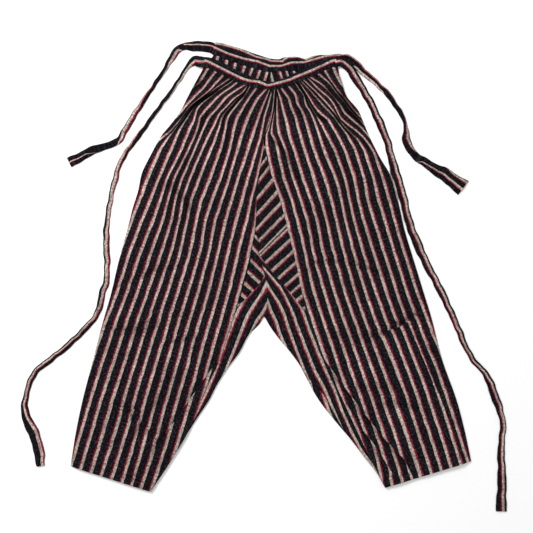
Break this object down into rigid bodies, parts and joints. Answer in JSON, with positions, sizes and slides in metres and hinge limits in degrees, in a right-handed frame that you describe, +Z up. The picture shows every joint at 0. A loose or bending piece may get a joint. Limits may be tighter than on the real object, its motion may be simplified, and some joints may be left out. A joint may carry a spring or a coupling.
{
  "type": "monpe pants",
  "caption": "Loose cotton work trousers laid flat, gathered into two waistbands with tie ends, with a crotch gusset and tapered legs.",
  "frame": {"origin": "middle of the laid-out garment, on the surface it lies on", "axes": "+Z up from the surface, +Y towards the waist, +X to the viewer's right when the hems are nearest"},
  "size_m": [0.9935, 0.9632, 0.0096],
  "materials": {
    "back_cloth": "matt striped cotton",
    "front_cloth": "matt striped cotton",
    "gusset_cloth": "matt striped cotton, stripes slanting",
    "inner_leg_cloth": "matt striped cotton",
    "waistband_cloth": "matt striped cotton, folded",
    "tie_cloth": "matt striped cotton, folded and creased"
  },
  "bodies": {
    "root": {"back_left": "back_cloth", "back_right": "back_cloth", "front_left": "front_cloth", "front_right": "front_cloth", "gusset_left": "gusset_cloth", "gusset_right": "gusset_cloth", "inner_leg_left": "inner_leg_cloth", "inner_leg_right": "inner_leg_cloth", "waistband_back": "waistband_cloth", "waistband_front": "waistband_cloth", "tie_back_left": "tie_cloth", "tie_back_right": "tie_cloth", "tie_front_left": "tie_cloth", "tie_front_right": "tie_cloth"}
  },
  "joints": []
}
